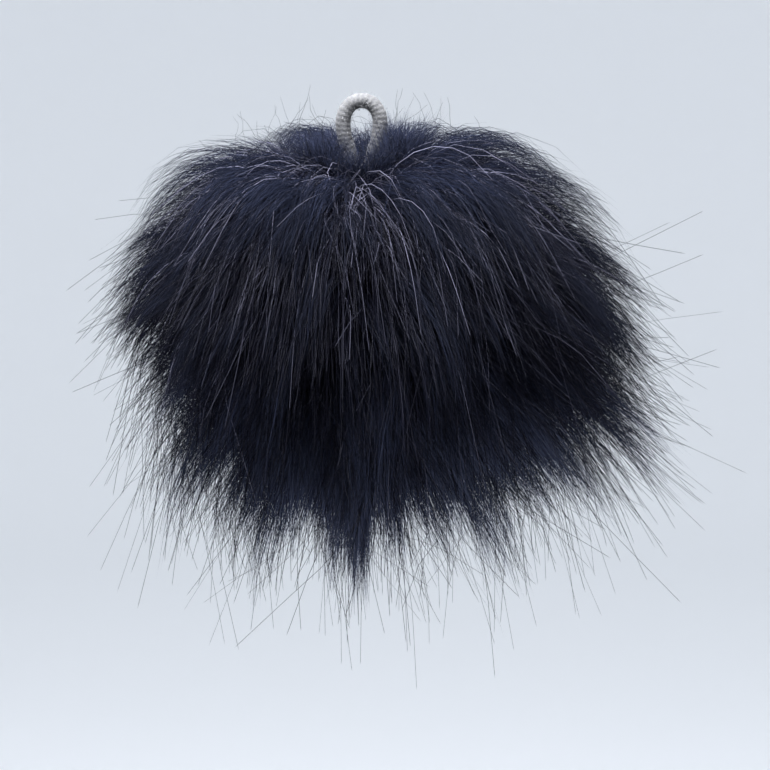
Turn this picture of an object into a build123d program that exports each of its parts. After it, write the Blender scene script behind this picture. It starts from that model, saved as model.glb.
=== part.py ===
"""Round fur pompom on a short elastic loop, in millimetres.

+Z is up, +X is right and +Y points away from the front. The origin is the hang point, the inside top
of the loop's eye, where a hook or a button carries the pompom. The ball hangs below it: a disc of fur
pelt gathered shut over a stuffed ball, with the loop bound, stitched and knotted into the gather.
"""

import os
from math import radians, tan

from build123d import *

# Elastic cord: a rubber core inside a braided cover, bent into a loop.
CORD_R = 1.5
BORE_R = 0.97
CORE_R = 0.95
LEG_X = 1.62
ARCH_FACTOR = 0.45

# The pivot is the throat of the gather, where the loop bends when the ball swings.
PIVOT_Z = -17.5
LEG_END_Z = PIVOT_Z + 0.3

# Sewing thread, wound round the two legs above the gather and again inside it.
THREAD_R = 0.22
TURN_PITCH = 0.46
WHIPPING_TURNS = 3
WHIPPING_LOW_Z = PIVOT_Z + 5.4
WHIPPING_GAP = 0.22
ANCHOR_TURNS = 3
ANCHOR_GAP = 0.06

# Pelt backing: a skin gathered shut, whose rim stands up as a short collar.
BALL_Z = -42.0
SKIN_R = 25.0
SKIN_THICKNESS = 0.9
MOUTH_R = 4.8
RIM_Z = PIVOT_Z + 1.7
RIM_ROUND = 0.4
RIM_HEIGHT = 3.0

# Gather thread round the collar, with its knot and its two cut ends in front.
GATHER_THREAD_R = 0.26
GATHER_Z = PIVOT_Z + 0.55
GATHER_R = MOUTH_R + SKIN_THICKNESS + GATHER_THREAD_R + 0.03
GATHER_KNOT_R = 0.75
GATHER_KNOT_Y = -(GATHER_R + GATHER_THREAD_R + GATHER_KNOT_R - 0.02)
GATHER_KNOT_Z = GATHER_Z + 0.45
GATHER_TAIL = 1.6
GATHER_TAIL_SPREAD = 25

# Cord knot inside the ball: two legs in, three turns round them, two cut ends out. It starts below the
# pivot, clear of the anchor stitches at 30 degrees of swing.
KNOT_TOP_Z = PIVOT_Z - 1.8
KNOT_Z = -28.5
KNOT_CORE_R = 3.6
KNOT_TURN_R = 3.0
KNOT_TILTS = (0, 50, -50)
KNOT_END_LENGTH = 10.5
KNOT_END_SPREAD = 14

# Polyester filling under the skin, with room for the knot.
FILLING_GAP = 0.3
KNOT_ROOM_R = 6.1
KNOT_ROOM_LOW_Z = -41.0

# Fur: dense underfur on the skin, and long guard hair beyond it, parted round the loop.
HOLLOW_R = 8.4
FUR_GAP = 0.3
PARTING_LOW_Z = PIVOT_Z + 6.0
PARTING_LOW_R = 5.6
PARTING_HIGH_R = 14.5
PARTING_HEIGHT = 17.0
UNDERFUR_OUTLINE = [(0, -12.5), (15, -12.5), (33, -20), (42, -36), (41, -57), (30, -77), (15, -86), (0, -86)]
UNDERFUR_ROUNDS = [16, 16, 24, 26, 22, 16]
GUARD_OUTLINE = [(0, -1.8), (27, -1.8), (49, -11), (60, -36), (57, -60), (46, -86), (30, -103), (0, -104)]
GUARD_ROUNDS = [22, 22, 34, 50, 34, 20]

FROM_BASE = (Align.CENTER, Align.CENTER, Align.MIN)

# The cord's route down the middle of its section, from one leg end round to the other, as (x, z).
LOOP_ROUTE = [
    (-LEG_X, LEG_END_Z),
    (-LEG_X, -10.7),
    (-3.55, -5.5),
    (-3.75, -1.3),
    (-1.75, 1.5),
    (1.75, 1.5),
    (3.75, -1.3),
    (3.55, -5.5),
    (LEG_X, -10.7),
    (LEG_X, LEG_END_Z),
]


def corner_radii(route):
    """One radius for each corner of a route, as large as its two runs allow."""
    radii = []
    for before, here, after in zip(route, route[1:], route[2:]):
        run_in = Vector(*here) - Vector(*before)
        run_out = Vector(*after) - Vector(*here)
        half_turn = radians(run_in.get_angle(run_out)) / 2
        radii.append(ARCH_FACTOR * min(run_in.length, run_out.length) / tan(half_turn))
    return radii


def thread_binding(low_z, count, gap):
    """Turns of thread round both legs of the loop, each its own closed ring."""
    turn_r = CORD_R + gap + THREAD_R
    with BuildPart() as binding:
        for turn in range(count):
            level = Plane.XY.offset(low_z + turn * TURN_PITCH)
            with BuildLine(level) as path:
                Line((0, -turn_r), (LEG_X, -turn_r))
                ThreePointArc((LEG_X, -turn_r), (LEG_X + turn_r, 0), (LEG_X, turn_r))
                Line((LEG_X, turn_r), (-LEG_X, turn_r))
                ThreePointArc((-LEG_X, turn_r), (-LEG_X - turn_r, 0), (-LEG_X, -turn_r))
                Line((-LEG_X, -turn_r), (0, -turn_r))
            with BuildSketch(Plane(origin=path.wires()[0] @ 0, z_dir=path.wires()[0] % 0)):
                Circle(THREAD_R)
            sweep(path=path.wires()[0])
    return binding


def turned_body(outline, rounds, grow=0.0):
    """A solid of revolution from (radius, height) corners, grown away from the ball's centre."""
    corners = []
    for radius, height in outline:
        arm = Vector(radius, height - BALL_Z)
        corner = arm * (1 + grow / arm.length)
        corners.append((corner.X, corner.Y + BALL_Z))
    with BuildPart() as body:
        with BuildSketch(Plane.XZ):
            with BuildLine():
                FilletPolyline(*corners, radius=rounds)
                Line(corners[-1], corners[0])
            make_face()
        revolve(axis=Axis.Z)
    return body.part


loop_radii = corner_radii(LOOP_ROUTE)
print("cord radii, mm:", [round(radius, 2) for radius in loop_radii])

with BuildLine(Plane.XZ) as loop_path:
    FilletPolyline(*LOOP_ROUTE, radius=loop_radii)
loop_wire = loop_path.wires()[0]
print("cord length, mm:", round(loop_wire.length, 2))
leg_end = Plane.XY.offset(LEG_END_Z)

with BuildPart() as loop_sheath:
    with BuildSketch(leg_end):
        with Locations((-LEG_X, 0)):
            Circle(CORD_R)
            Circle(BORE_R, mode=Mode.SUBTRACT)
    sweep(path=loop_wire)

with BuildPart() as loop_core:
    with BuildSketch(leg_end):
        with Locations((-LEG_X, 0)):
            Circle(CORE_R)
    sweep(path=loop_wire)

thread_whipping = thread_binding(WHIPPING_LOW_Z, WHIPPING_TURNS, WHIPPING_GAP)
anchor_stitches = thread_binding(PIVOT_Z - TURN_PITCH, ANCHOR_TURNS, ANCHOR_GAP)

with BuildPart() as pelt_backing:
    with Locations((0, 0, BALL_Z)):
        Sphere(SKIN_R)
    with BuildSketch(Plane.XY.offset(RIM_Z)):
        Circle(MOUTH_R + SKIN_THICKNESS)
    extrude(amount=-RIM_HEIGHT)
    with Locations((0, 0, BALL_Z)):
        Sphere(SKIN_R - SKIN_THICKNESS, mode=Mode.SUBTRACT)
    with BuildSketch(Plane.XY.offset(RIM_Z)):
        Circle(MOUTH_R)
    extrude(amount=-RIM_HEIGHT, mode=Mode.SUBTRACT)
    rim_edges = pelt_backing.faces().filter_by(Plane.XY).sort_by(Axis.Z)[-1].edges()
    fillet(rim_edges, radius=RIM_ROUND)

with BuildPart() as gather_thread:
    with Locations((0, 0, GATHER_Z)):
        Torus(GATHER_R, GATHER_THREAD_R)

with BuildPart() as gather_knot:
    with Locations((0, GATHER_KNOT_Y, GATHER_KNOT_Z)):
        Sphere(GATHER_KNOT_R, rotation=(90, 0, 0))
    for side in (-1, 1):
        tail_turn = (0, side * GATHER_TAIL_SPREAD, 0)
        with Locations((side * GATHER_THREAD_R, GATHER_KNOT_Y, GATHER_KNOT_Z)):
            Cylinder(GATHER_THREAD_R, GATHER_TAIL, rotation=tail_turn, align=FROM_BASE)

with BuildPart() as loop_knot:
    with Locations((0, 0, KNOT_Z)):
        Sphere(KNOT_CORE_R)
        for tilt in KNOT_TILTS:
            Torus(KNOT_TURN_R, CORD_R, rotation=(0, tilt, 0))
    with BuildSketch(Plane.XY.offset(KNOT_TOP_Z)):
        with Locations((-LEG_X, 0), (LEG_X, 0)):
            Circle(CORD_R)
    extrude(amount=KNOT_Z - KNOT_TOP_Z)
    for side in (-1, 1):
        end_turn = (180, side * KNOT_END_SPREAD, 0)
        with Locations((side * LEG_X, 0, KNOT_Z)):
            Cylinder(CORD_R, KNOT_END_LENGTH, rotation=end_turn, align=FROM_BASE)

with BuildPart() as stuffing:
    with Locations((0, 0, BALL_Z)):
        Sphere(SKIN_R - SKIN_THICKNESS - FILLING_GAP)
    with BuildSketch(Plane.XY.offset(RIM_Z)):
        Circle(KNOT_ROOM_R)
    extrude(amount=KNOT_ROOM_LOW_Z - RIM_Z, mode=Mode.SUBTRACT)

underfur_body = turned_body(UNDERFUR_OUTLINE, UNDERFUR_ROUNDS)
underfur_space = turned_body(UNDERFUR_OUTLINE, UNDERFUR_ROUNDS, FUR_GAP)
guard_hair_body = turned_body(GUARD_OUTLINE, GUARD_ROUNDS)

with BuildPart() as underfur:
    add(underfur_body)
    with Locations((0, 0, BALL_Z)):
        Sphere(SKIN_R + FUR_GAP, mode=Mode.SUBTRACT)
    with Locations((0, 0, PIVOT_Z)):
        Sphere(HOLLOW_R, mode=Mode.SUBTRACT)

with BuildPart() as guard_hair:
    add(guard_hair_body)
    add(underfur_space, mode=Mode.SUBTRACT)
    with Locations((0, 0, PIVOT_Z)):
        Sphere(HOLLOW_R, mode=Mode.SUBTRACT)
    with Locations((0, 0, PARTING_LOW_Z + PARTING_HEIGHT / 2)):
        Cone(PARTING_LOW_R, PARTING_HIGH_R, PARTING_HEIGHT, mode=Mode.SUBTRACT)

pieces = {
    "loop_sheath": loop_sheath,
    "loop_core": loop_core,
    "thread_whipping": thread_whipping,
    "anchor_stitches": anchor_stitches,
    "pelt_backing": pelt_backing,
    "gather_thread": gather_thread,
    "gather_knot": gather_knot,
    "loop_knot": loop_knot,
    "stuffing": stuffing,
    "underfur": underfur,
    "guard_hair": guard_hair,
}
os.makedirs("parts", exist_ok=True)
for name, piece in pieces.items():
    piece.part.label = name
    export_step(piece.part, f"parts/{name}.step")
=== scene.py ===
"""A round fur pompom hanging from a short elastic loop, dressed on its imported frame, in metres.

The hair is grown here as closed tapered strands, rooted on the pelt and gathered into locks. It parts at
the loop, stands over the crown and hangs in a ragged skirt below.
"""

from math import cos, pi, radians, sin

import bmesh
import bpy
import numpy as np
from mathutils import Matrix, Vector


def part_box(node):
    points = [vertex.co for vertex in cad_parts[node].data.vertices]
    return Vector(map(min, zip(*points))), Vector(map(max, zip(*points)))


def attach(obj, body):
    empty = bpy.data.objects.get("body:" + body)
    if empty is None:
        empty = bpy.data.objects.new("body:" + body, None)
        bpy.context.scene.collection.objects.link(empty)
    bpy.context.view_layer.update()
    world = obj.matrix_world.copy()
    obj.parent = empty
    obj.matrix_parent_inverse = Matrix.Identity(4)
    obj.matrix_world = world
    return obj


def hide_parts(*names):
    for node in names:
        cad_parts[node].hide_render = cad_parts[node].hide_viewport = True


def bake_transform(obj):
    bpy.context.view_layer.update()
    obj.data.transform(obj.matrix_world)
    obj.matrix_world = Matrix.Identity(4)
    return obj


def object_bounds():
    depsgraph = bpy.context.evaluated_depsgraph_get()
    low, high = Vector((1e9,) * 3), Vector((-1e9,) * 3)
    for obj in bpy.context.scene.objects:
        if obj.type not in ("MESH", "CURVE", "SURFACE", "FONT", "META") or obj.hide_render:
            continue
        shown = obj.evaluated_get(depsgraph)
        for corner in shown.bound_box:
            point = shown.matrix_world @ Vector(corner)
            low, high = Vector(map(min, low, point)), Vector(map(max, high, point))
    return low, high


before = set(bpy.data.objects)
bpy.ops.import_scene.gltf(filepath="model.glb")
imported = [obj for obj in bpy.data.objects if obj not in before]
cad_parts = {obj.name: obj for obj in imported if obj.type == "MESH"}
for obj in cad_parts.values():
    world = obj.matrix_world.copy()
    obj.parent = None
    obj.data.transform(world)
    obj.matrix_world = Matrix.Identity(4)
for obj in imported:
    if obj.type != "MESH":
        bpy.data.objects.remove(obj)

cad_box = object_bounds()
MM = 0.001
rng = np.random.default_rng(7)

# ---------------------------------------------------------------- places read from the frame
skin_low, skin_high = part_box("pelt_backing")
SKIN_R = (skin_high.x - skin_low.x) / 2
BALL = np.array([0.0, 0.0, skin_low.z + SKIN_R])
CORD_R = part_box("loop_sheath")[1].y
CORE_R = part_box("loop_core")[1].y


def unit(v):
    """Vectors, held in the last axis, brought to a length of one."""
    return v / np.maximum(np.linalg.norm(v, axis=-1, keepdims=True), 1e-12)


def smooth(x, low, high):
    """0 up to low and 1 from high on, with an S-shaped rise between them."""
    t = np.clip((x - low) / (high - low), 0, 1)
    return t * t * (3 - 2 * t)


def step_lengths(line):
    """The distance from each point of a line to the next."""
    return np.linalg.norm(np.diff(line, axis=0), axis=1)


# ---------------------------------------------------------------- camera, light and backdrop
VIEW_WIDTH = 154 * MM
VIEW_CENTRE = Vector((4.6, 0, -54.9)) * MM
LENS = 100
SENSOR = 36
CAMERA_ELEVATION = radians(7)
FLOOR_DROP = 250 * MM
REFLECTOR_DROP = 160 * MM


def make_camera():
    """A long lens a little above the ball, framed as the object hangs in front of it."""
    data = bpy.data.cameras.new("camera")
    data.lens = LENS
    data.sensor_width = SENSOR
    data.clip_start = 0.01
    camera = bpy.data.objects.new("camera", data)
    bpy.context.scene.collection.objects.link(camera)
    distance = VIEW_WIDTH * LENS / SENSOR
    arm = Vector((0, -cos(CAMERA_ELEVATION), sin(CAMERA_ELEVATION))) * distance
    camera.location = VIEW_CENTRE + arm
    camera.rotation_euler = (pi / 2 - CAMERA_ELEVATION, 0, 0)
    bpy.context.scene.camera = camera


def area_light(name, place, size, power, colour, seen=True):
    """A square softbox or reflector that faces the ball."""
    data = bpy.data.lights.new(name, "AREA")
    data.shape = "SQUARE"
    data.size = size
    data.energy = power
    data.color = colour
    light = bpy.data.objects.new(name, data)
    bpy.context.scene.collection.objects.link(light)
    light.location = place
    light.rotation_euler = (VIEW_CENTRE - Vector(place)).to_track_quat("-Z", "Y").to_euler()
    light.visible_camera = seen


def node_material(name):
    """A material with a Principled shader; returns it, its node tree and the shader."""
    material = bpy.data.materials.new(name)
    material.use_nodes = True
    tree = material.node_tree
    return material, tree, tree.nodes["Principled BSDF"]


def map_range(tree, value, **ends):
    """A Map Range node on value, with the ends that are given, such as to_min; returns its result."""
    node = tree.nodes.new("ShaderNodeMapRange")
    for name, number in ends.items():
        node.inputs[name.replace("_", " ").title()].default_value = number
    tree.links.new(value, node.inputs["Value"])
    return node.outputs["Result"]


def mix_colours(tree, factor, first, second, blend_type="MIX"):
    """Two colours mixed by factor; each is a colour or another node's output."""
    node = tree.nodes.new("ShaderNodeMix")
    node.data_type = "RGBA"
    node.blend_type = blend_type
    tree.links.new(factor, node.inputs["Factor"])
    for socket, colour in ((node.inputs[6], first), (node.inputs[7], second)):
        if isinstance(colour, tuple):
            socket.default_value = (*colour, 1)
        else:
            tree.links.new(colour, socket)
    return node.outputs[2]


def scale_colour(tree, colour, factor):
    """A colour made darker or lighter by factor."""
    node = tree.nodes.new("ShaderNodeVectorMath")
    node.operation = "SCALE"
    tree.links.new(colour, node.inputs[0])
    tree.links.new(factor, node.inputs["Scale"])
    return node.outputs[0]


def add_relief(tree, shader, height, strength, depth):
    """Fine relief on the shader's surface, from a height value."""
    bump = tree.nodes.new("ShaderNodeBump")
    bump.inputs["Strength"].default_value = strength
    bump.inputs["Distance"].default_value = depth
    tree.links.new(height, bump.inputs["Height"])
    tree.links.new(bump.outputs["Normal"], shader.inputs["Normal"])


def mesh_object(name, points, faces, material):
    """An object from vertices and faces, shaded smooth."""
    mesh = bpy.data.meshes.new(name)
    mesh.from_pydata([tuple(p) for p in points], [], faces)
    mesh.polygons.foreach_set("use_smooth", [True] * len(mesh.polygons))
    mesh.materials.append(material)
    made = bpy.data.objects.new(name, mesh)
    bpy.context.scene.collection.objects.link(made)
    return made


def band(low, high, around, flip=False):
    """Quads between two rings of vertices, each ring given by the number of its first vertex."""
    quads = []
    for k in range(around):
        nxt = (k + 1) % around
        if flip:
            quads.append((low + k, low + nxt, high + nxt, high + k))
        else:
            quads.append((low + k, high + k, high + nxt, low + nxt))
    return quads


def make_backdrop():
    """A pale seamless bowl: a round floor that curves up into a wall behind every view."""
    floor_z = cad_box[0][2] - FLOOR_DROP
    floor_r, bend, wall = 1.3, 0.6, 1.4
    around, bend_steps = 96, 12
    profile = [(0.0, 0.0), (floor_r * 0.5, 0.0), (floor_r, 0.0)]
    for step in range(1, bend_steps + 1):
        turn = pi / 2 * step / bend_steps
        profile.append((floor_r + bend * sin(turn), bend * (1 - cos(turn))))
    profile.append((floor_r + bend, bend + wall))
    points = [(0, 0, floor_z)]
    for radius, height in profile[1:]:
        for k in range(around):
            angle = 2 * pi * k / around
            points.append((radius * cos(angle), radius * sin(angle), floor_z + height))
    faces = [(0, 1 + k, 1 + (k + 1) % around) for k in range(around)]
    for ring in range(len(profile) - 2):
        faces += band(1 + ring * around, 1 + (ring + 1) * around, around)
    material, tree, shader = node_material("pale_paper")
    shader.inputs["Base Color"].default_value = (0.89, 0.90, 0.92, 1)
    shader.inputs["Roughness"].default_value = 0.9
    shader.inputs["Specular IOR Level"].default_value = 0.1
    mesh_object("backdrop", points, faces, material)


def make_light():
    """A high softbox for the crown's shine, a low reflector that the camera can't see, and a pale sky."""
    world = bpy.data.worlds.new("sky")
    bpy.context.scene.world = world
    world.use_nodes = True
    background = world.node_tree.nodes["Background"]
    background.inputs["Color"].default_value = (0.90, 0.95, 1.0, 1)
    background.inputs["Strength"].default_value = 0.90
    area_light("top_softbox", (-0.035, -0.075, 0.21), size=0.16, power=4.8, colour=(0.94, 0.95, 1.0))
    below = (0.02, -0.06, cad_box[0][2] - REFLECTOR_DROP)
    area_light("low_reflector", below, size=0.22, power=1.7, colour=(0.95, 0.97, 1.0), seen=False)
    bpy.context.scene.view_settings.view_transform = "Standard"


make_camera()

# ---------------------------------------------------------------- the elastic loop
# The control points of the cord's middle line, as (x, z) in mm, the same as in the CAD.
LOOP_ROUTE = [
    (-1.62, -17.2),
    (-1.62, -10.7),
    (-3.55, -5.5),
    (-3.75, -1.3),
    (-1.75, 1.5),
    (1.75, 1.5),
    (3.75, -1.3),
    (3.55, -5.5),
    (1.62, -10.7),
    (1.62, -17.2),
]


def route_points(route, name):
    """Points along the smooth NURBS line that has the route's points as its control points."""
    curve = bpy.data.curves.new(name, "CURVE")
    curve.dimensions = "3D"
    curve.resolution_u = 60
    spline = curve.splines.new("NURBS")
    spline.points.add(len(route) - 1)
    for point, (x, z) in zip(spline.points, route):
        point.co = (x * MM, 0, z * MM, 1)
    spline.order_u = 3
    spline.use_endpoint_u = True
    holder = bpy.data.objects.new(name, curve)
    bpy.context.scene.collection.objects.link(holder)
    bpy.context.view_layer.update()
    evaluated = holder.evaluated_get(bpy.context.evaluated_depsgraph_get())
    mesh = bpy.data.meshes.new_from_object(evaluated)
    line = np.array([vertex.co[:] for vertex in mesh.vertices])
    bpy.data.objects.remove(holder)
    bpy.data.curves.remove(curve)
    bpy.data.meshes.remove(mesh)
    return line


def tube_along(name, line, radius_of, material, around, hollow_r=None):
    """A closed tube round a line, or a ring if the line's ends meet.

    radius_of(distance, angle) gives its surface, and hollow_r its bore. The mesh keeps how high each point
    of the surface stands, from 0 in the valleys to 1 on the ridges, for the material, which paints shade into
    the valleys.
    """
    is_ring = np.linalg.norm(line[0] - line[-1]) < 1e-7
    steps = step_lengths(line)
    if is_ring:
        line, steps = line[:-1], steps[:-1]
        tangent = unit(np.roll(line, -1, axis=0) - np.roll(line, 1, axis=0))
        flat_axis = np.array([0.0, 0.0, 1.0])
    else:
        tangent = unit(np.gradient(line, axis=0))
        flat_axis = np.array([0.0, 1.0, 0.0])
    side = unit(flat_axis - (tangent @ flat_axis)[:, None] * tangent)
    other = np.cross(tangent, side)
    distance = np.concatenate([[0], np.cumsum(steps)])
    angles = 2 * pi * np.arange(around) / around
    ring = np.cos(angles)[None, :, None] * side[:, None] + np.sin(angles)[None, :, None] * other[:, None]
    rows = len(line)
    radius = np.broadcast_to(radius_of(distance[:, None], angles[None, :]), (rows, around))
    height = ((radius - radius.min()) / max(np.ptp(radius), 1e-9)).ravel()
    shells = [(line[:, None] + ring * radius[..., None]).reshape(-1, 3)]
    spans = [(row * around, (row + 1) % rows * around) for row in range(rows if is_ring else rows - 1)]
    faces = [quad for here, there in spans for quad in band(here, there, around, flip=True)]
    last = (rows - 1) * around
    if hollow_r is not None:
        shells.append((line[:, None] + ring * hollow_r).reshape(-1, 3))
        height = np.concatenate([height, np.zeros(rows * around)])
        bore = rows * around
        faces += [quad for here, there in spans for quad in band(bore + here, bore + there, around)]
        faces += band(0, bore, around)
        faces += band(last, bore + last, around, flip=True)
    elif not is_ring:
        faces.append(tuple(range(around - 1, -1, -1)))
        faces.append(tuple(last + k for k in range(around)))
    made = mesh_object(name, np.concatenate(shells), faces, material)
    layer = made.data.attributes.new("height", "FLOAT", "POINT")
    layer.data.foreach_set("value", height.astype(np.float32))
    return made


def fibre_material(name, valley, ridge, low_tint, low_tint_span, rough, scale, relief, sheen):
    """Cloth or thread: darker in its valleys as painted shade, mottled, and tinted darker toward the bottom,
    from the first to the second of a span of heights in mm; on the loop's cover that too is painted shade.

    scale is the noise's, and relief the depth of its bumps in mm.
    """
    material, tree, shader = node_material(name)
    height = tree.nodes.new("ShaderNodeAttribute")
    height.attribute_name = "height"
    place = tree.nodes.new("ShaderNodeTexCoord").outputs["Object"]
    noise = tree.nodes.new("ShaderNodeTexNoise")
    noise.inputs["Scale"].default_value = scale
    noise.inputs["Detail"].default_value = 5
    tree.links.new(place, noise.inputs["Vector"])
    mottle = map_range(tree, noise.outputs["Fac"], from_min=0.3, from_max=0.7, to_min=0.62, to_max=1.1)
    parts = tree.nodes.new("ShaderNodeSeparateXYZ")
    tree.links.new(place, parts.inputs[0])
    # How far the low tint has come in, from the first height down to the second; on the loop's cover, painted
    # shade.
    low_tinting = map_range(tree, parts.outputs["Z"], from_min=low_tint_span[0] * MM, from_max=low_tint_span[1] * MM)
    untinted = scale_colour(tree, mix_colours(tree, height.outputs["Fac"], valley, ridge), mottle)
    tree.links.new(mix_colours(tree, low_tinting, untinted, low_tint, "MULTIPLY"), shader.inputs["Base Color"])
    roughness = map_range(tree, noise.outputs["Fac"], to_min=rough - 0.12, to_max=rough + 0.08)
    tree.links.new(roughness, shader.inputs["Roughness"])
    add_relief(tree, shader, noise.outputs["Fac"], 0.5, relief * MM)
    shader.inputs["Sheen Weight"].default_value = sheen
    return material


def make_loop():
    """The elastic loop: a braided cover round a rubber core, which stretches between hook and whipping."""
    line = route_points(LOOP_ROUTE, "loop_route")
    rib_pitch, yarns, relief = 0.92 * MM, 9, 0.075 * MM

    def braid(distance, angle):
        turns = 2 * pi * distance / rib_pitch
        rib = 0.5 + 0.5 * np.cos(turns + angle)
        yarn = 0.5 + 0.25 * (np.cos(yarns * angle + turns) + np.cos(yarns * angle - 2 * turns))
        return CORD_R - relief * (1 - 0.55 * rib - 0.45 * yarn)

    def ribbed_core(distance, angle):
        return CORE_R * (0.985 + 0.015 * np.cos(7 * angle))

    # The cover is darker in its valleys and, below the arch, down its legs: both painted shade, the legs'
    # where the fur shadows them.
    cover = fibre_material(
        "white_braid",
        valley=(0.078, 0.078, 0.083),
        ridge=(0.118, 0.118, 0.115),
        low_tint=(0.40, 0.41, 0.45),
        low_tint_span=(0.5, -7.0),
        rough=0.85,
        scale=1100,
        relief=0.06,
        sheen=0.1,
    )
    rubber = fibre_material(
        "latex_core",
        valley=(0.60, 0.54, 0.42),
        ridge=(0.66, 0.60, 0.47),
        low_tint=(0.9, 0.9, 0.9),
        low_tint_span=(-1.0, -9.0),
        rough=0.6,
        scale=300,
        relief=0.02,
        sheen=0.0,
    )
    sheath = tube_along("elastic_loop_cover", line, braid, cover, around=60, hollow_r=CORE_R * 1.02)
    core = tube_along("elastic_loop_core", line, ribbed_core, rubber, around=24)
    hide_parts("loop_sheath")
    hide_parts("loop_core")
    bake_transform(sheath)
    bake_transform(core)
    return line


loop_line = make_loop()
make_backdrop()
make_light()


# ---------------------------------------------------------------- skin, filling and threads
SKIN_THICKNESS = 0.8 * MM
COLLAR_HEIGHT = 3.0 * MM
PLEATS = 22
PLEAT_DEPTH = 0.34 * MM

# The well in the filling that holds the cord's knot.
WELL_R = 6.45 * MM
WELL_FLOOR_Z = -41.4 * MM

# The sewing threads: how far apart their turns lie, the length of a twist, and points along them to a mm.
TURN_PITCH = 0.46 * MM
PLY_TWIST = 1.1 * MM
POINTS_PER_MM = 9


def turned_mesh(name, profile, shift, material, around):
    """A mesh turned round the vertical axis from (radius, height) points.

    It is closed at both poles, or as a ring if its profile starts off the axis. shift(points) moves its
    points, for pleats and lumps.
    """
    closed_ring = profile[0][0] > 1e-9
    rows = profile if closed_ring else profile[1:-1]
    turn = 2 * pi * np.arange(around) / around
    points = np.array([[(r * cos(a), r * sin(a), z) for a in turn] for r, z in rows]).reshape(-1, 3)
    faces = []
    count = len(rows)
    for row in range(count if closed_ring else count - 1):
        faces += band(row * around, (row + 1) % count * around, around)
    if not closed_ring:
        first, last = len(points), len(points) + 1
        ends = [(0, 0, profile[0][1]), (0, 0, profile[-1][1])]
        points = np.concatenate([points, ends])
        base = (count - 1) * around
        for k in range(around):
            nxt = (k + 1) % around
            faces.append((first, k, nxt))
            faces.append((last, base + nxt, base + k))
    made = mesh_object(name, shift(points), faces, material)
    bm = bmesh.new()
    bm.from_mesh(made.data)
    bmesh.ops.recalc_face_normals(bm, faces=bm.faces)
    bm.to_mesh(made.data)
    bm.free()
    return made


def arc_profile(radius, from_angle, to_angle, steps):
    """Points of a circle round the ball's centre, as (radius, height), by angle from straight up."""
    angles = np.linspace(from_angle, to_angle, steps)
    return [(radius * sin(a), BALL[2] + radius * cos(a)) for a in angles]


def lumps(points, size, depth):
    """A smooth uneven value for each point, made of a few crossing waves."""
    total = np.zeros(len(points))
    for turn in range(5):
        heading = np.array([sin(2.1 * turn + 0.4), cos(1.7 * turn), sin(1.3 * turn + 2.0)])
        total += np.sin(points @ heading / size + 1.9 * turn) / 5
    return total * depth


def make_skin():
    """The pelt's backing: one gathered sheet whose pleats run up into a ruffled collar."""
    thread_low, thread_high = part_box("gather_thread")
    thread_z = (thread_low.z + thread_high.z) / 2
    mouth_r = thread_high.x - 1.5 * MM
    outer_r = SKIN_R - 0.05 * MM
    inner_r = outer_r - SKIN_THICKNESS
    collar = np.linspace(skin_high.z - COLLAR_HEIGHT, skin_high.z - 0.1 * MM, 14)
    outside = [(mouth_r + SKIN_THICKNESS, z) for z in collar[::-1]]
    start_out = np.arcsin((mouth_r + SKIN_THICKNESS) / outer_r) + 0.02
    start_in = np.arcsin(mouth_r / inner_r) + 0.02
    sphere_out = arc_profile(outer_r, start_out, pi, 90)[:-1]
    sphere_in = arc_profile(inner_r, pi, start_in, 90)[1:]
    inside = [(mouth_r, z) for z in collar if z > sphere_in[-1][1] + 0.1 * MM]
    outside = [p for p in outside if p[1] > sphere_out[0][1] + 0.1 * MM]
    bottom_out, bottom_in = (0.02 * MM, BALL[2] - outer_r), (0.02 * MM, BALL[2] - inner_r)
    profile = outside + sphere_out + [bottom_out, bottom_in] + sphere_in + inside

    def pleats(points):
        turn = np.arctan2(points[:, 1], points[:, 0])
        radius = np.hypot(points[:, 0], points[:, 1])
        polar = np.arctan2(radius, points[:, 2] - BALL[2])
        near = np.exp(-((polar - 0.2) / 0.42).clip(0) ** 2)
        tight = 1 - 0.93 * np.exp(-(((points[:, 2] - thread_z) / (0.55 * MM)) ** 2))
        wave = np.cos(PLEATS * turn + 0.5 * np.sin(3 * turn)) * PLEAT_DEPTH * near * tight
        scale = 1 + (wave - 0.1 * MM) / np.maximum(radius, 2 * MM)
        moved = points.copy()
        moved[:, 0] *= scale
        moved[:, 1] *= scale
        return moved

    backing = fibre_material(
        "knitted_backing",
        valley=(0.012, 0.014, 0.026),
        ridge=(0.022, 0.026, 0.046),
        low_tint=(0.8, 0.8, 0.8),
        low_tint_span=(-60.0, -67.0),
        rough=0.85,
        scale=900,
        relief=0.15,
        sheen=0.3,
    )
    skin = turned_mesh("gathered_skin", profile, pleats, backing, around=176)
    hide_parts("pelt_backing")
    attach(skin, "ball")
    return skin


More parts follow.
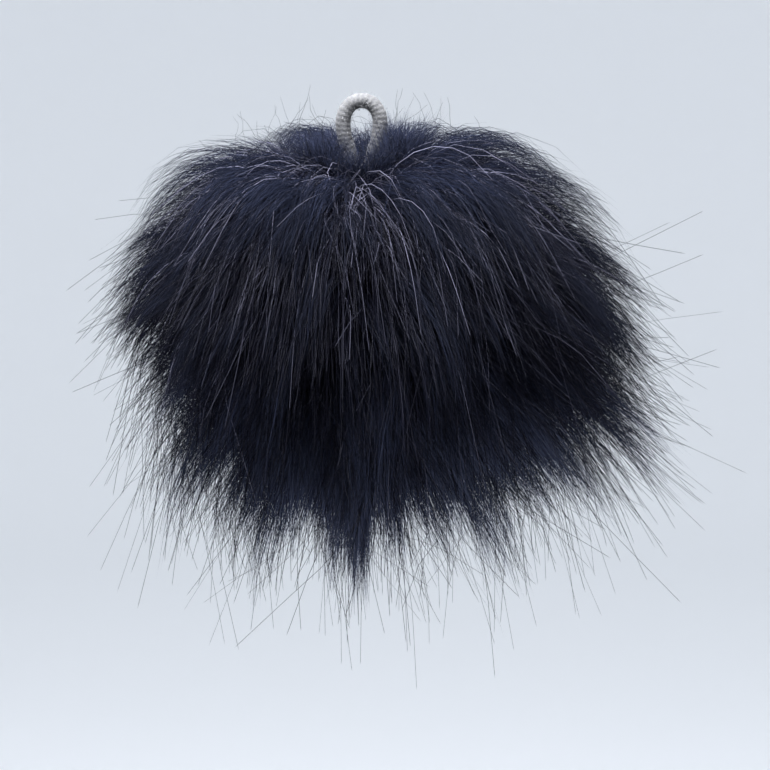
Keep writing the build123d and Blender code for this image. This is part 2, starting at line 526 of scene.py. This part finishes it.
def make_filling():
    """Loose polyester filling: a lumpy ball with a well for the cord's knot."""
    low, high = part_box("stuffing")
    radius = (high.x - low.x) / 2 - 0.35 * MM
    start = np.arcsin(WELL_R / radius)
    top_z = BALL[2] + radius * cos(start)
    well = [(r * MM, WELL_FLOOR_Z) for r in (0, 1.5, 3, 4.6)]
    well += [(WELL_R, z) for z in np.linspace(WELL_FLOOR_Z, top_z, 16)]
    profile = well + arc_profile(radius, start, pi, 70)[1:]

    def uneven(points):
        arm = points - BALL
        outward = arm / np.maximum(np.linalg.norm(arm, axis=1), 1e-9)[:, None]
        outside = smooth(np.linalg.norm(arm, axis=1), radius - 0.5 * MM, radius)
        depth = lumps(points, 2.6 * MM, 0.9 * MM) + lumps(points, 0.9 * MM, 0.35 * MM) - 0.7 * MM
        return points + outward * (depth * outside)[:, None]

    fibre = fibre_material(
        "white_filling",
        valley=(0.62, 0.62, 0.61),
        ridge=(0.72, 0.72, 0.71),
        low_tint=(0.9, 0.9, 0.9),
        low_tint_span=(-50.0, -66.0),
        rough=0.85,
        scale=420,
        relief=0.3,
        sheen=0.4,
    )
    filling = turned_mesh("polyester_filling", profile, uneven, fibre, around=132)
    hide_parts("stuffing")
    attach(filling, "ball")
    return filling


def ring_line(half_x, radius, height):
    """A closed line round two legs half_x either side of the middle, at one height."""
    straight, half_turn = 2 * half_x, pi * radius
    total = 2 * straight + 2 * half_turn
    points = []
    for s in np.linspace(0, total, int(total / MM * POINTS_PER_MM) + 1)[:-1]:
        if s < straight:
            points.append((s - half_x, -radius, height))
        elif s < straight + half_turn:
            a = (s - straight) / radius - pi / 2
            points.append((half_x + radius * cos(a), radius * sin(a), height))
        elif s < 2 * straight + half_turn:
            points.append((half_x - (s - straight - half_turn), radius, height))
        else:
            a = (s - 2 * straight - half_turn) / radius + pi / 2
            points.append((-half_x + radius * cos(a), radius * sin(a), height))
    points.append(points[0])
    return np.array(points)


def make_threads():
    """Two-ply sewing thread: the turns round the legs above and inside the gather, and the gather's own."""
    thread = fibre_material(
        "navy_thread",
        valley=(0.006, 0.007, 0.012),
        ridge=(0.030, 0.034, 0.055),
        low_tint=(0.9, 0.9, 0.9),
        low_tint_span=(-30.0, -60.0),
        rough=0.6,
        scale=1500,
        relief=0.03,
        sheen=0.2,
    )

    def ply(thread_r, twist):
        return lambda d, a: thread_r * (0.82 + 0.18 * np.abs(np.cos(a + 2 * pi * d / twist)))

    for node, body, name, thread_r in (
        ("thread_whipping", "whipping", "whipping_turn", 0.22 * MM),
        ("anchor_stitches", "anchor", "anchor_turn", 0.22 * MM),
        ("gather_thread", "ball", "gather_turn", 0.26 * MM),
    ):
        low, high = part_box(node)
        radius, half_x = high.y - thread_r, high.x - high.y
        for turn in range(int(round((high.z - low.z - 2 * thread_r) / TURN_PITCH)) + 1):
            line = ring_line(half_x, radius, low.z + thread_r + turn * TURN_PITCH)
            length = step_lengths(line).sum()
            twist = length / max(1, round(length / PLY_TWIST))
            ring = tube_along(f"{name}_{turn + 1}", line, ply(thread_r, twist), thread, around=14)
            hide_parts(node)
            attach(ring, body)


def make_knot_material():
    """The cord's knot and the gather's knot keep their CAD shapes, in the cord's cover and the thread."""
    cord = fibre_material(
        "knot_braid",
        valley=(0.34, 0.34, 0.34),
        ridge=(0.40, 0.40, 0.39),
        low_tint=(0.8, 0.8, 0.82),
        low_tint_span=(-25.0, -39.0),
        rough=0.85,
        scale=700,
        relief=0.12,
        sheen=0.1,
    )
    thread = fibre_material(
        "knot_thread",
        valley=(0.018, 0.020, 0.034),
        ridge=(0.03, 0.034, 0.055),
        low_tint=(0.9, 0.9, 0.9),
        low_tint_span=(-16.0, -18.0),
        rough=0.6,
        scale=1500,
        relief=0.05,
        sheen=0.2,
    )
    for node, material in (("loop_knot", cord), ("gather_knot", thread)):
        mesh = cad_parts[node].data
        mesh.materials.clear()
        mesh.materials.append(material)


filling = make_filling()
skin = make_skin()
make_threads()
make_knot_material()

# ---------------------------------------------------------------- hair
STRAND_SIDES = 3
TONES = 32
LOCKS = 300
TUFTS_PER_LOCK = 9
UNDERFUR_STRANDS = 66000
COLLAR_STRANDS = 5200
GUARD_STRANDS = 22000
STRAY_SHARE = 0.12
WISPS = 150
LOOP_FIBRES = 900

# Every path of hair is laid at full length first, in even steps, and cut to its own length afterwards.
FULL_LENGTH = 62 * MM
FULL_STEPS = 14
ALONG = np.linspace(0, 1, FULL_STEPS + 1)[None, :, None]

# No hair passes these two limits, so that it stays near the CAD's box. A strand ends at this share of the
# step that would pass them.
WIDEST = 69 * MM
LOWEST = -115 * MM
LAST_PART = 0.05

# The cosine of the angle from straight up where the skin's hair starts, at the edge of the mouth.
MOUTH_COS = 0.972

# Collar fur with its tips nearer the axis than this is caught by the whipping, and swings with it.
CAUGHT_R = 11 * MM

# How far the dense fur reaches from CENTRE, in mm, against the angle from straight up, in degrees. The
# front's upper part is flatter by a share of that.
CENTRE = np.array([0.0, 0.0, -45.0 * MM])
OUTLINE_ANGLE = [0, 8, 16, 25, 37, 47, 60, 70, 83, 94, 105, 118, 129, 150, 180]
OUTLINE_REACH = [36, 40, 43.5, 47, 50, 51, 52.5, 53, 53.5, 53, 51, 50.5, 50, 46.5, 42]
FRONT_FLATTER = 0.13

# The ball hangs fuller on its right, so the outline is pushed out there and drawn in on the left.
SIDE_ANGLE = [0, 50, 70, 83, 100, 112, 120, 130, 150, 180]
RIGHT_GAIN = [0, 0, 0.02, 0.03, 0.06, 0.07, 0.03, -0.02, -0.02, 0]
LEFT_LOSS = [0, 0.02, 0.06, 0.11, 0.24, 0.19, 0.13, 0.07, 0, 0]

# Gaps between the hanging tufts: where each lies from side to side and its half width, both in mm, and its
# depth as a share of the reach. The one with a negative depth is the long tuft in the middle.
GAPS = [(-12.4, 3.6, 0.19), (-0.8, 2.6, -0.10), (19.6, 4.6, 0.19)]

# The hair's angle from straight up, where it leaves the skin and at its full length, against the same
# angle of the skin under its root. The crown stands up and falls over; the rest lies outward and hangs.
ROOT_ANGLE = [0, 14, 20, 28, 40, 60, 90, 120, 150, 180]
START_ANGLE = [15, 15, 18, 24, 34, 58, 96, 124, 153, 178]
END_ANGLE = [136, 138, 140, 143, 146, 150, 154, 160, 168, 179]

# The hair in front sweeps to the right; low on the right it spreads outward, and on the left it hangs. The
# front's upper hair also turns part of the way to straight ahead, and the crown's leans by FRONT_LEAN degrees.
FRONT_SWEEP = radians(15)
FRONT_TURN = 0.4
FRONT_LEAN = 44
RIGHT_SPREAD = radians(16)
LEFT_HANG = radians(7)


def directions(count, jitter):
    """Directions spread evenly over the ball below its mouth, on a jittered spiral."""
    k = np.arange(count) + 0.5
    height = MOUTH_COS - (1 + MOUTH_COS) * k / count
    turn = k * pi * (3 - 5 ** 0.5)
    flat = np.sqrt(np.maximum(1 - height ** 2, 0))
    points = np.stack([flat * np.cos(turn), flat * np.sin(turn), height], axis=1)
    points = unit(points + rng.normal(0, jitter, (count, 3)))
    points[:, 2] = np.minimum(points[:, 2], MOUTH_COS)
    return unit(points)


def frontness(headings):
    """1 at the front and 0 at the sides and the back."""
    return np.maximum(-np.sin(headings), 0) ** 2


def sideness(headings):
    """Two values, 1 on the right and 1 on the left, each 0 from the middle to the other side."""
    return np.maximum(np.cos(headings), 0) ** 2, np.maximum(-np.cos(headings), 0) ** 2


def comb(normals, lift, swirl, fall, bend_ends=0.7):
    """Full-length centrelines from the skin: outward at first, then bending over as they fall.

    lift and fall turn the start and end angles, and swirl the heading, all in radians for each strand.
    bend_ends is the share of the length where the bend is over and the strand runs straight.
    """
    polar = np.degrees(np.arccos(np.clip(normals[:, 2], -1, 1)))
    heading = np.arctan2(normals[:, 1], normals[:, 0])
    front = frontness(heading)
    sweep = FRONT_SWEEP * front * (1 - smooth(polar, 80, 130))
    right, left = sideness(heading)
    hanging = smooth(polar, 55, 90) * (1 - smooth(polar, 140, 175))
    spread = (RIGHT_SPREAD * right - LEFT_HANG * left) * hanging
    toward_front = FRONT_TURN * (-pi / 2 - heading) * np.sqrt(front) * (1 - smooth(polar, 50, 110))
    heading = heading + swirl + sweep + toward_front
    crown = 1 - smooth(polar, 22, 60)
    lean = FRONT_LEAN * frontness(heading) * crown
    start = np.radians(np.interp(polar, ROOT_ANGLE, START_ANGLE) + lean) + lift
    end = np.radians(np.interp(polar, ROOT_ANGLE, END_ANGLE)) + fall - spread
    s = (np.arange(FULL_STEPS) + 0.5) / FULL_STEPS
    angle = start[:, None] + (end - start)[:, None] * smooth(s, 0.0, bend_ends)[None, :]
    direction = np.stack(
        [
            np.sin(angle) * np.cos(heading)[:, None],
            np.sin(angle) * np.sin(heading)[:, None],
            np.cos(angle),
        ],
        axis=-1,
    )
    steps = np.cumsum(direction * FULL_LENGTH / FULL_STEPS, axis=1)
    root = BALL + normals * SKIN_R * 0.995
    return np.concatenate([root[:, None], root[:, None] + steps], axis=1)


def nearest(points, centres):
    """The nearest centre of each direction, worked out in blocks."""
    return np.concatenate([(block @ centres.T).argmax(1) for block in np.array_split(points, 24)])


def reach_ratio(points):
    """How far out points lie, as a share of the dense fur's outline in their direction."""
    arm = points - CENTRE
    distance = np.maximum(np.linalg.norm(arm, axis=-1), 1e-9)
    angle = np.degrees(np.arccos(np.clip(arm[..., 2] / distance, -1, 1)))
    outline = np.interp(angle, OUTLINE_ANGLE, OUTLINE_REACH) * MM
    heading = np.arctan2(arm[..., 1], arm[..., 0])
    front = frontness(heading) * (1 - smooth(angle, 12, 55))
    right, left = sideness(heading)
    gain = right * np.interp(angle, SIDE_ANGLE, RIGHT_GAIN) - left * np.interp(angle, SIDE_ANGLE, LEFT_LOSS)
    for place, half_width, depth in GAPS:
        nearness = np.exp(-(((arm[..., 0] / MM - place) / half_width) ** 2))
        gain = gain - depth * nearness * smooth(angle, 118, 150)
    return distance / (outline * (1 - FRONT_FLATTER * front) * (1 + gain))


def cut(paths, reach, longest, steps):
    """Paths cut where they pass reach, or at their longest, and divided again into even steps."""
    ratio = reach_ratio(paths)
    outside = ratio > reach[:, None]
    outside[:, :3] = False
    past_limit = (np.abs(paths[..., :2]).max(axis=-1) > WIDEST) | (paths[..., 2] < LOWEST)
    outside |= past_limit
    outside[:, -1] = True
    last = outside.argmax(axis=1)
    rows = np.arange(len(paths))
    before, after = ratio[rows, last - 1], ratio[rows, last]
    part = np.clip((reach - before) / np.maximum(after - before, 1e-6), LAST_PART, 1)
    part[past_limit[rows, last]] = LAST_PART
    end = np.minimum(last - 1 + part, longest / FULL_LENGTH * FULL_STEPS)
    place = end[:, None] * np.linspace(0, 1, steps + 1)[None, :]
    low = np.minimum(place.astype(int), FULL_STEPS - 1)
    share = (place - low)[..., None]
    return paths[rows[:, None], low] * (1 - share) + paths[rows[:, None], low + 1] * share


def ripple(paths, frizz, turns_low, turns_high):
    """Paths with a slow wave of their own added, growing from the root."""
    count = len(paths)
    wave = rng.normal(0, frizz, (count, 1, 3))
    phase = rng.random((count, 1, 1)) * 2 * pi
    turns = rng.uniform(turns_low, turns_high, (count, 1, 1))
    return paths + (np.sin(ALONG * turns * 2 * pi + phase) - np.sin(phase)) * wave * smooth(ALONG, 0, 0.5)


class Locks:
    """The large locks that both coats share: where each grows, how it lies and how far it reaches."""

    def __init__(self, count):
        self.normals = directions(count, 0.06)
        self.lift, self.swirl, self.fall = (rng.normal(0, radians(d), count) for d in (8, 14, 9))
        uneven = 0.045 + 0.055 * smooth(-self.normals[:, 2], -0.6, 0.2)
        self.reach = 1 + rng.normal(0, 1, count) * uneven
        self.guides = comb(self.normals, self.lift, self.swirl, self.fall)


def underfur_paths(count, locks, steps):
    """Soft fine fur, drawn together into locks that taper to a point."""
    normals = directions(count, 0.02)
    of_lock = nearest(normals, locks.normals)
    lift, swirl, fall = (
        of_locks[of_lock] + rng.normal(0, radians(d), count)
        for of_locks, d in ((locks.lift, 6), (locks.swirl, 7), (locks.fall, 7))
    )
    paths = comb(normals, lift, swirl, fall)
    aside = paths[:, :1] - locks.guides[of_lock][:, :1]
    low = smooth(-normals[:, 2], -0.6, 0.2)
    pull = np.clip(rng.normal(0.72, 0.12, len(locks.reach))[of_lock] + 0.16 * low, 0, 0.95)[:, None, None]
    pull = pull * np.where(rng.random(count) < 0.12, 0.15, 1.0)[:, None, None] * smooth(ALONG, 0.0, 0.62)
    paths = paths * (1 - pull) + (locks.guides[of_lock] + aside * 0.22) * pull
    tufts = len(locks.reach) * TUFTS_PER_LOCK
    of_tuft = nearest(normals, directions(tufts, 0.03))
    sums = np.zeros((tufts, FULL_STEPS + 1, 3))
    np.add.at(sums, of_tuft, paths)
    sizes = np.bincount(of_tuft, minlength=tufts)[:, None, None]
    pull = 0.5 * smooth(ALONG, 0.05, 0.6)
    paths = paths * (1 - pull) + (sums / np.maximum(sizes, 1))[of_tuft] * pull
    paths = paths + rng.normal(0, 1.3 * MM, (tufts, 1, 3))[of_tuft] * smooth(ALONG, 0.1, 0.9)
    paths = ripple(ripple(paths, 0.5 * MM, 0.5, 1.2), 0.28 * MM, 2, 4)
    off_centre = np.linalg.norm(aside[:, 0], axis=1)
    taper = 1.05 + 0.08 * low - (0.17 + 0.22 * low) * np.clip(off_centre / (4.2 * MM), 0, 1.3)
    heading = np.arctan2(normals[:, 1], normals[:, 0])
    under_guard = 0.08 * frontness(heading) * smooth(-normals[:, 2], -0.95, -0.7) * (1 - low)
    reach = locks.reach[of_lock] * taper * rng.normal(0.97 - 0.03 * low, 0.05 + 0.035 * low) - under_guard
    reach = reach + rng.normal(0, 0.03, tufts)[of_tuft]
    upper = 1 - smooth(-normals[:, 2], -0.75, -0.05)
    layered = (rng.uniform(0.42, 0.92, tufts)[of_tuft] - 1) * upper
    longest = np.minimum(52 * MM * (rng.normal(1, 0.06, count) + layered), FULL_LENGTH)
    return cut(paths, reach, longest, steps)


def guard_paths(count, locks, steps):
    """Stiff hairs that lie looser than the locks. The stray ones stand well past the underfur."""
    normals = directions(count, 0.03)
    heading = np.arctan2(normals[:, 1], normals[:, 0])
    thin = smooth(normals[:, 2], 0.75, 0.9) * (1 - frontness(heading))
    thin += 1.5 * smooth(-normals[:, 2], -0.1, 0.5)
    kept = rng.random(count) > 0.5 * thin
    normals, heading = normals[kept], heading[kept]
    count = len(normals)
    of_lock = nearest(normals, locks.normals)
    stray = rng.random(count) < STRAY_SHARE
    own = [rng.normal(0, radians(d), count) * np.where(stray, 1.5, 1.0) for d in (12, 26, 15)]
    own[1] *= 1 + 0.9 * smooth(normals[:, 2], 0.7, 0.95)
    of_locks = (locks.lift, locks.swirl, locks.fall)
    lift, swirl, fall = (angles[of_lock] + noise for angles, noise in zip(of_locks, own))
    paths = comb(normals, lift, swirl, fall, bend_ends=0.5)
    low = smooth(-normals[:, 2], -0.3, 0.6)
    pull = np.clip((rng.normal(0.42, 0.2, count) + 0.25 * low) * ~stray, 0, 0.85)[:, None, None]
    pull = pull * smooth(ALONG, 0.0, 0.6)
    aside = paths[:, :1] - locks.guides[of_lock][:, :1]
    paths = paths * (1 - pull) + (locks.guides[of_lock] + aside * 0.5) * pull
    paths = ripple(paths, (0.6 + 0.9 * low)[:, None, None] * MM, 0.3, 1.1)
    below_crown = smooth(-normals[:, 2], -0.85, -0.2)
    reach = locks.reach[of_lock] * rng.normal(0.98 + 0.02 * low, 0.075, count) + 0.02 * low
    past = rng.uniform(0.0, 0.05, count) + below_crown * rng.uniform(0.02, 0.32, count)
    past += (0.06 + 0.20 * np.maximum(np.cos(heading), 0)) * low * rng.random(count)
    reach = np.where(stray, reach + past + 0.04 * low, reach)
    upper = 1 - smooth(-normals[:, 2], -0.75, -0.05)
    layered = (rng.uniform(0.28, 0.92, count) - 1) * upper
    longest = np.minimum(56 * MM * (rng.normal(1, 0.06, count) + layered) + 8 * MM * stray, FULL_LENGTH)
    return cut(paths, reach, longest, steps)


def mouth_paths(count, steps):
    """Soft fur on the collar, which hides the foot of the legs and fills the middle of the crown."""
    turn = rng.uniform(0, 2 * pi, count)
    front, right = frontness(turn), np.maximum(np.cos(turn), 0)
    foot_r = rng.uniform(5.6, 9.0, count) * MM
    foot_z = BALL[2] + np.sqrt(SKIN_R ** 2 - foot_r ** 2)
    top_z = (rng.normal(-5.4, 1.5, count) + 2.4 * right - 4.2 * front) * MM
    outward = rng.uniform(-3.2, 9.0, count) * MM * (1 - 0.3 * front)
    aside = rng.normal(0, 0.42, count)
    t = np.linspace(0, 1, steps + 1)[None, :]
    radius = foot_r[:, None] + 0.8 * MM * np.sin(pi * t) + outward[:, None] * t ** 1.6
    angle = turn[:, None] + aside[:, None] * t
    height = foot_z[:, None] + (top_z - foot_z)[:, None] * t ** 0.9
    curl = np.sin(2 * pi * t * rng.uniform(0.5, 1.6, (count, 1)) + rng.uniform(0, 6, (count, 1)))[..., None]
    paths = np.stack([radius * np.cos(angle), radius * np.sin(angle), height], axis=-1)
    return paths + curl * rng.normal(0, 0.55 * MM, (count, 1, 3)) * t[..., None]


def fuzz_paths(count, steps):
    """Fine loose fibres that stand off the loop's cover, most of them lying close to it."""
    along = rng.integers(3, len(loop_line) - 3, count)
    tangent = unit(loop_line[along + 2] - loop_line[along - 2])
    outward = unit(np.cross(tangent, rng.normal(0, 1, (count, 3))))
    lean = unit(outward * rng.uniform(0.25, 1.0, (count, 1)) + tangent * rng.normal(0, 0.8, (count, 1)))
    length = rng.uniform(0.3, 0.9, (count, 1, 1)) * MM
    t = np.linspace(0, 1, steps + 1)[None, :, None]
    start = loop_line[along] + outward * (CORD_R - 0.06 * MM)
    bend = np.cross(lean, tangent)[:, None] * rng.normal(0, 0.4, (count, 1, 1))
    return start[:, None] + (lean[:, None] * t + bend * t ** 2) * length


def wisp_paths(count, steps):
    """Fine curly hairs that have worked loose over the crown."""
    turn = rng.uniform(0, 2 * pi, count)
    out = (4 + 30 * rng.random(count) ** 1.5) * MM
    start_z = -8 * MM - 0.006 * (out / MM) ** 2 * MM
    start = np.stack([out * np.cos(turn), out * np.sin(turn), start_z], axis=-1)
    direction = unit(np.stack([0.5 * np.cos(turn), 0.5 * np.sin(turn), np.ones(count)], axis=-1))
    curl = rng.normal(0, 0.42, (count, 3))
    points = [start]
    for step in range(steps):
        direction = unit(direction + curl + rng.normal(0, 0.25, (count, 3)))
        points.append(points[-1] + direction * rng.uniform(0.7, 1.3, (count, 1)) * MM)
    return np.stack(points, axis=1)


def strand_mesh(name, paths, radius, tone, material, blunt):
    """Closed tapered strands as one mesh: three-sided rings, capped at the root and closed at the tip.

    blunt, from 0 to 1, keeps a strand's width nearly to its tip. The UV map holds each strand's tone across
    and the distance along it upward, so that every strand of one tone shares one column of the map.
    """
    count, rings = paths.shape[0], paths.shape[1] - 1
    paths = paths.copy()
    paths[:, -2] += (paths[:, -1] - paths[:, -2]) * 0.85 * blunt
    tangent = unit(np.gradient(paths, axis=1))
    guess = unit(rng.normal(0, 1, (count, 1, 3)))
    side = unit(np.cross(tangent, guess))
    other = np.cross(tangent, side)
    t = np.linspace(0, 1, rings + 1)
    width = radius[:, None] * (1 - (0.72 - 0.4 * blunt) * t[None, :rings] ** 2.2)
    angle = 2 * pi * np.arange(STRAND_SIDES) / STRAND_SIDES
    ring = np.cos(angle)[:, None] * side[:, :rings, None] + np.sin(angle)[:, None] * other[:, :rings, None]
    body = paths[:, :rings, None] + ring * width[..., None, None]
    points = np.concatenate([body.reshape(count, -1, 3), paths[:, -1:]], axis=1)
    per = rings * STRAND_SIDES + 1
    faces, places = [], []
    for row in range(rings - 1):
        for k in range(STRAND_SIDES):
            a, b, nxt = row * STRAND_SIDES, (row + 1) * STRAND_SIDES, (k + 1) % STRAND_SIDES
            faces.append((a + k, a + nxt, b + nxt, b + k))
            places.append([(k, t[row]), (k + 1, t[row]), (k + 1, t[row + 1]), (k, t[row + 1])])
    last = (rings - 1) * STRAND_SIDES
    for k in range(STRAND_SIDES):
        faces.append((last + k, last + (k + 1) % STRAND_SIDES, per - 1))
        places.append([(k, t[rings - 1]), (k + 1, t[rings - 1]), (k + 0.5, 1.0)])
    faces.append((2, 1, 0))
    places.append([(3, 0.0), (1.5, 0.004), (0, 0.0)])
    pattern = np.array([i for face in faces for i in face])
    starts = np.cumsum([0] + [len(face) for face in faces])[:-1]
    uv = np.array([p for corner in places for p in corner]) * [0.9 / (STRAND_SIDES * TONES), 0.999]
    offsets = np.arange(count)[:, None]
    mesh = bpy.data.meshes.new(name)
    mesh.vertices.add(count * per)
    mesh.vertices.foreach_set("co", points.astype(np.float32).ravel())
    mesh.loops.add(count * len(pattern))
    mesh.loops.foreach_set("vertex_index", (pattern[None] + offsets * per).astype(np.int32).ravel())
    mesh.polygons.add(count * len(starts))
    loop_starts = starts[None] + offsets * len(pattern)
    mesh.polygons.foreach_set("loop_start", loop_starts.astype(np.int32).ravel())
    mesh.polygons.foreach_set("use_smooth", np.ones(count * len(starts), bool))
    column = (np.clip(tone, 0, 0.999) * TONES).astype(int) / TONES + 0.05 / TONES
    spread = np.repeat(uv[None], count, axis=0)
    spread[:, :, 0] += column[:, None]
    layer = mesh.uv_layers.new(name="OFBake")
    layer.data.foreach_set("uv", spread.astype(np.float32).ravel())
    mesh.update(calc_edges=True)
    mesh.materials.append(material)
    made = bpy.data.objects.new(name, mesh)
    bpy.context.scene.collection.objects.link(made)
    return made


def hair_material(
    name, tones, root_shade_share, tip, tip_share, rough, sheen, specular=0.5, specular_tint=(1, 1, 1)
):
    """Hair whose colour varies from strand to strand, with fine scales.

    The root share is how much of the colour is left at the root, a painted shade deep in the fur, and the tip
    share how much of the tip's colour is mixed in at the tip. rough is the lowest and the highest roughness.
    """
    material, tree, shader = node_material(name)
    place = tree.nodes.new("ShaderNodeUVMap")
    place.uv_map = "OFBake"
    parts = tree.nodes.new("ShaderNodeSeparateXYZ")
    tree.links.new(place.outputs["UV"], parts.inputs[0])
    across, along = parts.outputs["X"], parts.outputs["Y"]
    ramp = tree.nodes.new("ShaderNodeValToRGB")
    ramp.color_ramp.interpolation = "LINEAR"
    ramp.color_ramp.elements[0].color = (*tones[0], 1)
    ramp.color_ramp.elements[1].color = (*tones[-1], 1)
    for k, colour in enumerate(tones[1:-1], start=1):
        ramp.color_ramp.elements.new(k / (len(tones) - 1)).color = (*colour, 1)
    tree.links.new(across, ramp.inputs["Fac"])
    toward_tip = map_range(tree, along, from_min=0.45, to_max=tip_share)
    # Darker toward the root: painted shade deep in the fur.
    painted_root_shade = map_range(tree, along, from_min=0.14, from_max=0.46, to_min=root_shade_share)
    tipped = mix_colours(tree, toward_tip, ramp.outputs["Color"], tip)
    tree.links.new(scale_colour(tree, tipped, painted_root_shade), shader.inputs["Base Color"])
    stretch = tree.nodes.new("ShaderNodeMapping")
    stretch.inputs["Scale"].default_value = (TONES * 3, 60, 1)
    tree.links.new(place.outputs["UV"], stretch.inputs["Vector"])
    scales = tree.nodes.new("ShaderNodeTexNoise")
    scales.inputs["Scale"].default_value = 1
    scales.inputs["Detail"].default_value = 2
    tree.links.new(stretch.outputs["Vector"], scales.inputs["Vector"])
    roughness = map_range(tree, scales.outputs["Fac"], to_min=rough[0], to_max=rough[1])
    tree.links.new(roughness, shader.inputs["Roughness"])
    add_relief(tree, shader, scales.outputs["Fac"], 0.2, 0.01 * MM)
    shader.inputs["Specular IOR Level"].default_value = specular
    shader.inputs["Specular Tint"].default_value = (*specular_tint, 1)
    shader.inputs["Sheen Weight"].default_value = sheen
    shader.inputs["Sheen Tint"].default_value = (0.6, 0.62, 0.85, 1)
    return material


def make_coat(name, paths, radius, tone, material, node, blunt, pieces=1, body="ball"):
    """One coat of hair, in sectors round the vertical axis. node is the CAD's part, which is hidden."""
    turn = np.arctan2(paths[:, 0, 1] - BALL[1], paths[:, 0, 0] - BALL[0])
    sector = ((turn + pi) / (2 * pi) * pieces).astype(int) % pieces
    for k in range(pieces):
        own = np.flatnonzero(sector == k)
        piece = strand_mesh(f"{name}_{k + 1:02d}", paths[own], radius[own], tone[own], material, blunt)
        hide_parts(node)
        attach(piece, body)


def shade(paths):
    """How much lighter a strand is than the rest, by its root: painted shadow makes it black round the middle,
    and painted light from the floor makes it paler below, more so on the right.
    """
    outward = unit(paths[:, 0] - BALL)
    down = -outward[:, 2]
    # Painted light: strands rooted low on the ball, most of all on the right, are made paler as if lit from
    # below.
    lit_below = (0.75 + 0.3 * np.maximum(outward[:, 0], 0)) * smooth(down, -0.25, 0.45)
    return -0.13 - 0.43 * smooth(down, -0.95, -0.65) + lit_below


# The tones of the three kinds of hair, from the darkest strand to the lightest. The guard hair's lightest tone
# is a painted highlight, given mostly to top-lit strands, and the navy's lightest tones are mostly painted
# light below, through shade().
NAVY = [(0.0026, 0.0033, 0.0066), (0.0048, 0.0064, 0.0138), (0.0095, 0.0125, 0.027), (0.038, 0.044, 0.069)]
BLACK = [
    (0.0015, 0.0015, 0.003),
    (0.002, 0.002, 0.004),
    (0.004, 0.004, 0.008),
    (0.012, 0.012, 0.021),
    (0.17, 0.17, 0.23),
]
WHITE = [(0.16, 0.16, 0.165), (0.20, 0.20, 0.20), (0.26, 0.26, 0.26)]

density = 1.0
locks = Locks(LOCKS)

soft = hair_material(
    "navy_underfur",
    NAVY,
    root_shade_share=0.7,
    tip=(0.014, 0.018, 0.036),
    tip_share=0.2,
    rough=(0.5, 0.75),
    sheen=0.02,
    specular=0.03,
)
# Guard hair: its dark roots and near-black tips are painted shade, deep in the fur and along each hair's
# hanging end.
stiff = hair_material(
    "guard_hair",
    BLACK,
    root_shade_share=0.12,
    tip=(0.0015, 0.0015, 0.0025),
    tip_share=0.85,
    rough=(0.2, 0.34),
    sheen=0.0,
    specular=0.05,
    specular_tint=(0.78, 0.80, 1.0),
)
fluffy = hair_material(
    "loop_fuzz",
    WHITE,
    root_shade_share=1.0,
    tip=(0.22, 0.22, 0.22),
    tip_share=0.3,
    rough=(0.6, 0.8),
    sheen=0.1,
)

paths = underfur_paths(int(UNDERFUR_STRANDS * density), locks, steps=5)
radius = rng.uniform(0.032, 0.06, len(paths)) * MM
# The underfur's tone carries painted shade round the middle and painted light below, from shade().
tone = rng.normal(0.5, 0.2, len(paths)) + shade(paths)
make_coat("underfur", paths, radius, tone, soft, "underfur", blunt=0.0, pieces=10)

paths = mouth_paths(int(COLLAR_STRANDS * density), steps=5)
radius = rng.uniform(0.032, 0.055, len(paths)) * MM
tone = rng.normal(0.36, 0.2, len(paths))
caught = np.hypot(paths[:, -1, 0], paths[:, -1, 1]) < CAUGHT_R
for name, body, own in (("collar_fur", "ball", ~caught), ("throat_fur", "whipping", caught)):
    make_coat(name, paths[own], radius[own], tone[own], soft, "underfur", blunt=0.0, body=body)

paths = guard_paths(int(GUARD_STRANDS * density), locks, steps=9)
radius = rng.uniform(0.036, 0.062, len(paths)) * MM
# Painted highlight: half the guard hairs rooted high on the ball get a lighter tone, where the top softbox
# lights them.
top_lit = smooth((paths[:, 0] - BALL)[:, 2] / SKIN_R, 0.35, 0.8)
tone = rng.normal(0.38, 0.22, len(paths)) + 0.5 * top_lit * (rng.random(len(paths)) < 0.5)
make_coat("guard_hair", paths, radius, tone, stiff, "guard_hair", blunt=1.0, pieces=6)

paths = wisp_paths(WISPS, steps=13)
radius = rng.uniform(0.028, 0.044, len(paths)) * MM
tone = rng.normal(0.4, 0.2, len(paths))
make_coat("loose_wisps", paths, radius, tone, stiff, "guard_hair", blunt=0.5)

paths = fuzz_paths(int(LOOP_FIBRES * density), steps=3)
radius = rng.uniform(0.014, 0.022, len(paths)) * MM
fuzz = strand_mesh("loop_fuzz", paths, radius, rng.random(len(paths)), fluffy, blunt=0.5)
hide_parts("loop_sheath")
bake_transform(fuzz)
